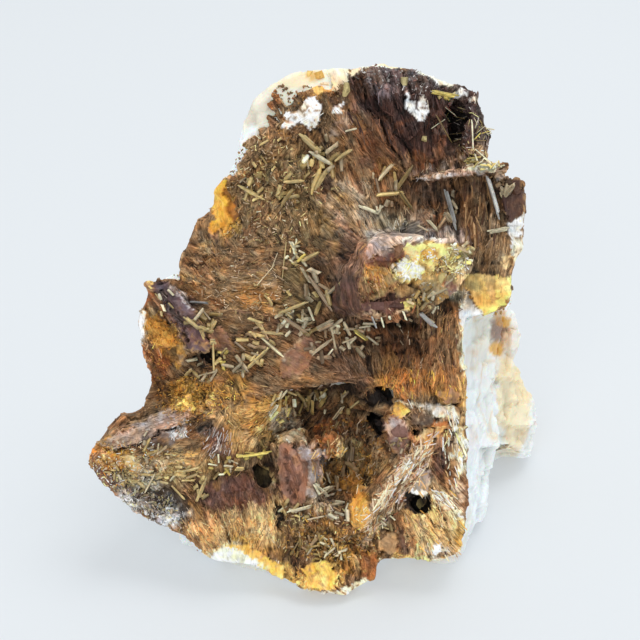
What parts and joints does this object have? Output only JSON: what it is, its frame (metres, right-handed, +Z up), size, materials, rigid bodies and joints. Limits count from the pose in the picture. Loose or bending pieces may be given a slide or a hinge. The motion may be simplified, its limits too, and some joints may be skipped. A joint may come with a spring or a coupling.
{
  "type": "pyromorphite",
  "caption": "Hand-size mineral specimen: milky quartz with a brown fibrous limonite crust, a hollow and a broken branch, set with small six-sided pyromorphite crystals; stands on a flat foot.",
  "frame": {"origin": "middle of the part's bounding box in X and Y, at the level of the flat foot", "axes": "+Z up, -Y towards the side that the crusted face looks to, +X to the right of that face"},
  "size_m": [0.095, 0.0772, 0.0943],
  "materials": {
    "quartz": null,
    "limonite": null,
    "pyromorphite": null
  },
  "bodies": {
    "root": {"quartz_matrix": "quartz", "limonite_crust": "limonite", "pyromorphite_crown": "pyromorphite", "pyromorphite_upper_left": "pyromorphite", "pyromorphite_under_ledge": "pyromorphite", "pyromorphite_right_block": "pyromorphite", "pyromorphite_right_edge": "pyromorphite", "pyromorphite_crown_pocket": "pyromorphite", "pyromorphite_upper_middle": "pyromorphite", "pyromorphite_centre": "pyromorphite", "pyromorphite_under_horn": "pyromorphite", "pyromorphite_beside_slab": "pyromorphite", "pyromorphite_centre_left": "pyromorphite", "pyromorphite_vug_lip": "pyromorphite", "pyromorphite_tongue": "pyromorphite", "pyromorphite_tongue_foot": "pyromorphite", "pyromorphite_vug_floor": "pyromorphite", "pyromorphite_bottom": "pyromorphite"}
  },
  "joints": []
}
